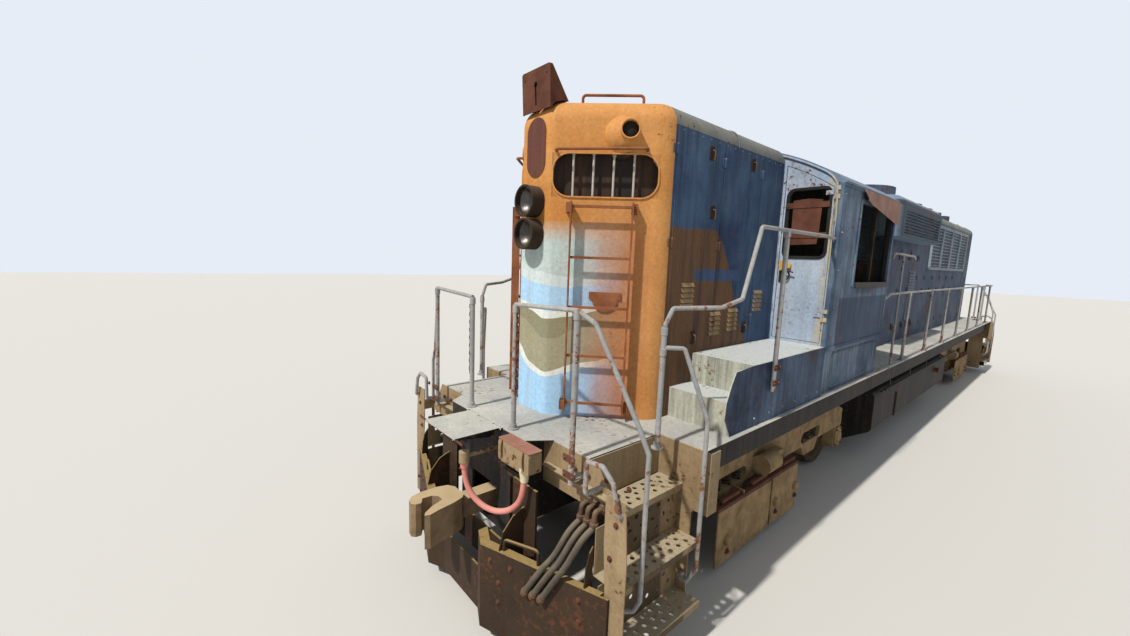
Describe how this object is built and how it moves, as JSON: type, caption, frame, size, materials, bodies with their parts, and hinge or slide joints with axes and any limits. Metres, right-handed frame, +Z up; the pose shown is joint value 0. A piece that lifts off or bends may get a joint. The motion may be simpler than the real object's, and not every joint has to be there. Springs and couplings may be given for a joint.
{
  "type": "diesel locomotive",
  "caption": "Six-axle hood diesel locomotive with a high short hood, worn and disused, with turning wheels, swivelling trucks, cab doors, roof fans, couplers and drop steps.",
  "frame": {"origin": "centre of the footprint on the ground, at the lowest point of the wheel flanges", "axes": "X across the locomotive, Y along it with the short hood at -Y, Z up"},
  "size_m": [3.2, 18.654, 4.6109],
  "materials": {
    "grey_steel": "weathered paint",
    "black_steel": "weathered paint",
    "deck_steel": "weathered paint",
    "brown_steel": "rusted paint",
    "orange_nose": "weathered paint",
    "slate_side": "weathered paint",
    "roof_steel": "weathered paint",
    "cab_steel": "weathered paint",
    "hood_steel": "weathered paint",
    "cast_frame": "rusted",
    "wheel_steel": "rusted rim",
    "coupler_iron": "rusted",
    "rail_pipe": "chipped paint",
    "dark_iron": "matt",
    "pane_glass": "dusty",
    "seat_vinyl": "worn",
    "hose_rubber": "dusty",
    "cable_rubber": "faded",
    "fan_alloy": "dull",
    "engine_paint": "oily paint"
  },
  "bodies": {
    "locomotive": {"air_reservoirs": "black_steel", "battery_boxes": "slate_side", "brake_blister": "grey_steel", "cab_floor": "cab_steel", "cab_glass": "pane_glass", "cab_roof": "roof_steel", "cab_seats": "seat_vinyl", "cab_side_left": "cab_steel", "cab_side_right": "cab_steel", "cab_wall_front": "cab_steel", "cab_wall_rear": "cab_steel", "control_stand": "grey_steel", "deck": "deck_steel", "draft_yokes": "coupler_iron", "end_rails": "rail_pipe", "engine": "engine_paint", "fan_housings": "grey_steel", "fuel_tank": "black_steel", "handrails_left": "rail_pipe", "handrails_right": "rail_pipe", "headlights": "dark_iron", "jumper_cable": "cable_rubber", "ladders": "rail_pipe", "lamp_box": "brown_steel", "long_hood_end": "hood_steel", "long_hood_left": "hood_steel", "long_hood_right": "hood_steel", "long_hood_roof": "roof_steel", "mu_hoses": "hose_rubber", "plows": "brown_steel", "radiator_shutters": "grey_steel", "receptacles": "grey_steel", "roof_fittings": "dark_iron", "short_hood_left": "slate_side", "short_hood_nose": "orange_nose", "short_hood_right": "slate_side", "short_hood_roof": "roof_steel", "step_wells": "brown_steel", "sunshades": "brown_steel", "underframe": "black_steel"},
    "truck_front": {"truck_frame_front": "cast_frame"},
    "truck_rear": {"truck_frame_rear": "cast_frame"},
    "coupler_front": {"coupler_front": "coupler_iron"},
    "coupler_rear": {"coupler_rear": "coupler_iron"},
    "door_front": {"cab_door_front": "cab_steel"},
    "door_rear": {"cab_door_rear": "cab_steel"},
    "drop_front": {"drop_step_front": "deck_steel"},
    "drop_rear": {"drop_step_rear": "deck_steel"},
    "brake_fan": {"brake_fan": "fan_alloy"},
    "axle_1": {"wheelset_1": "wheel_steel"},
    "axle_2": {"wheelset_2": "wheel_steel"},
    "axle_3": {"wheelset_3": "wheel_steel"},
    "axle_4": {"wheelset_4": "wheel_steel"},
    "axle_5": {"wheelset_5": "wheel_steel"},
    "axle_6": {"wheelset_6": "wheel_steel"},
    "fan_1": {"radiator_fan_1": "fan_alloy"},
    "fan_2": {"radiator_fan_2": "fan_alloy"},
    "fan_3": {"radiator_fan_3": "fan_alloy"},
    "fan_4": {"radiator_fan_4": "fan_alloy"}
  },
  "joints": [
    {"name": "truck_front_swivel", "type": "hinge", "parent": "locomotive", "child": "truck_front", "pos_m": [0, -5.334, 1.14], "axis": [0, 0, 1], "range_deg": [-4, 4]},
    {"name": "truck_rear_swivel", "type": "hinge", "parent": "locomotive", "child": "truck_rear", "pos_m": [0, 5.334, 1.14], "axis": [0, 0, 1], "range_deg": [-4, 4]},
    {"name": "axle_1_turn", "type": "hinge", "parent": "truck_front", "child": "axle_1", "pos_m": [0, -7.404, 0.534], "axis": [1, 0, 0], "continuous": true},
    {"name": "axle_2_turn", "type": "hinge", "parent": "truck_front", "child": "axle_2", "pos_m": [0, -5.334, 0.534], "axis": [1, 0, 0], "continuous": true},
    {"name": "axle_3_turn", "type": "hinge", "parent": "truck_front", "child": "axle_3", "pos_m": [0, -3.264, 0.534], "axis": [1, 0, 0], "continuous": true},
    {"name": "axle_4_turn", "type": "hinge", "parent": "truck_rear", "child": "axle_4", "pos_m": [0, 3.264, 0.534], "axis": [1, 0, 0], "continuous": true},
    {"name": "axle_5_turn", "type": "hinge", "parent": "truck_rear", "child": "axle_5", "pos_m": [0, 5.334, 0.534], "axis": [1, 0, 0], "continuous": true},
    {"name": "axle_6_turn", "type": "hinge", "parent": "truck_rear", "child": "axle_6", "pos_m": [0, 7.404, 0.534], "axis": [1, 0, 0], "continuous": true},
    {"name": "coupler_front_swing", "type": "hinge", "parent": "locomotive", "child": "coupler_front", "pos_m": [0, -8.25, 0.902], "axis": [0, 0, 1], "range_deg": [-7, 7]},
    {"name": "coupler_rear_swing", "type": "hinge", "parent": "locomotive", "child": "coupler_rear", "pos_m": [0, 8.25, 0.902], "axis": [0, 0, 1], "range_deg": [-7, 7]},
    {"name": "door_front_turn", "type": "hinge", "parent": "locomotive", "child": "door_front", "pos_m": [1.443, -5.394, 3.1], "axis": [0, 0, 1], "range_deg": [0, 85]},
    {"name": "door_rear_turn", "type": "hinge", "parent": "locomotive", "child": "door_rear", "pos_m": [-1.443, -3.356, 3.1], "axis": [0, 0, 1], "range_deg": [0, 85]},
    {"name": "fan_1_turn", "type": "hinge", "parent": "locomotive", "child": "fan_1", "pos_m": [0, 2.75, 4.4], "axis": [0, 0, 1], "continuous": true},
    {"name": "fan_2_turn", "type": "hinge", "parent": "locomotive", "child": "fan_2", "pos_m": [0, 3.85, 4.4], "axis": [0, 0, 1], "continuous": true},
    {"name": "fan_3_turn", "type": "hinge", "parent": "locomotive", "child": "fan_3", "pos_m": [0, 4.95, 4.4], "axis": [0, 0, 1], "continuous": true},
    {"name": "fan_4_turn", "type": "hinge", "parent": "locomotive", "child": "fan_4", "pos_m": [0, 6.05, 4.4], "axis": [0, 0, 1], "continuous": true},
    {"name": "brake_fan_turn", "type": "hinge", "parent": "locomotive", "child": "brake_fan", "pos_m": [0, -0.2, 4.4], "axis": [0, 0, 1], "continuous": true},
    {"name": "drop_front_lift", "type": "hinge", "parent": "locomotive", "child": "drop_front", "pos_m": [0, -8.694, 1.62], "axis": [-1, 0, 0], "range_deg": [0, 90]},
    {"name": "drop_rear_lift", "type": "hinge", "parent": "locomotive", "child": "drop_rear", "pos_m": [0, 8.694, 1.62], "axis": [1, 0, 0], "range_deg": [0, 90]}
  ]
}
